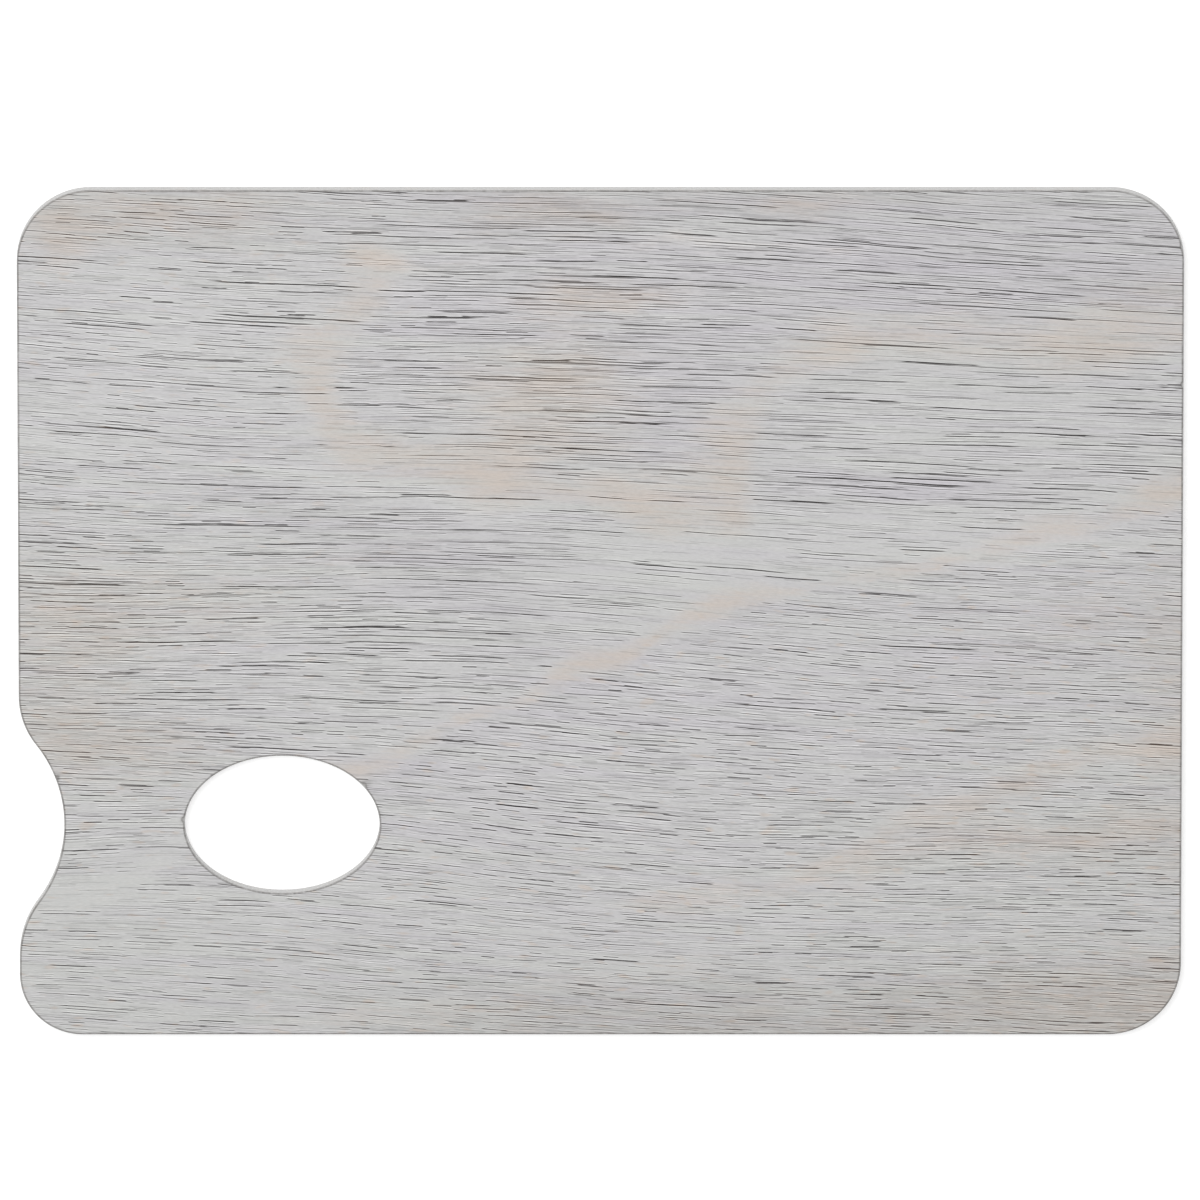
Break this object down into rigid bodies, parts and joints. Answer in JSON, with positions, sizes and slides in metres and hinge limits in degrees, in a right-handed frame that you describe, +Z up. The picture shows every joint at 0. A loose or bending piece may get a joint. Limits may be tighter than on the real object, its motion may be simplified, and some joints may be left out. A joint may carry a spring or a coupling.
{
  "type": "painter's mixing palette",
  "caption": "Flat rectangular painter's mixing palette pressed from bonded veneers, with rounded corners, an oval thumb hole and a finger notch beside it.",
  "frame": {"origin": "on the underside, at the centre of the board's length and width", "axes": "+X along the length, away from the finger notch; +Y across the width, away from the thumb hole; +Z up through the thickness, out of the face that paint is mixed on"},
  "size_m": [0.4, 0.3, 0.005],
  "materials": {
    "whitewashed_veneer": "whitewashed open-pored tropical veneer, satin sealed",
    "crossband_veneer": "pale cross-grained veneer, washed over at the cut edge",
    "centre_veneer": "pale long-grained veneer, washed over at the cut edge",
    "resin_glue": "cured resin glue line, seen only at the cut edges"
  },
  "bodies": {
    "root": {"back_veneer": "whitewashed_veneer", "glue_film_back": "resin_glue", "lower_crossband": "crossband_veneer", "glue_film_lower_core": "resin_glue", "centre_veneer": "centre_veneer", "glue_film_upper_core": "resin_glue", "upper_crossband": "crossband_veneer", "glue_film_face": "resin_glue", "face_veneer": "whitewashed_veneer"}
  },
  "joints": []
}
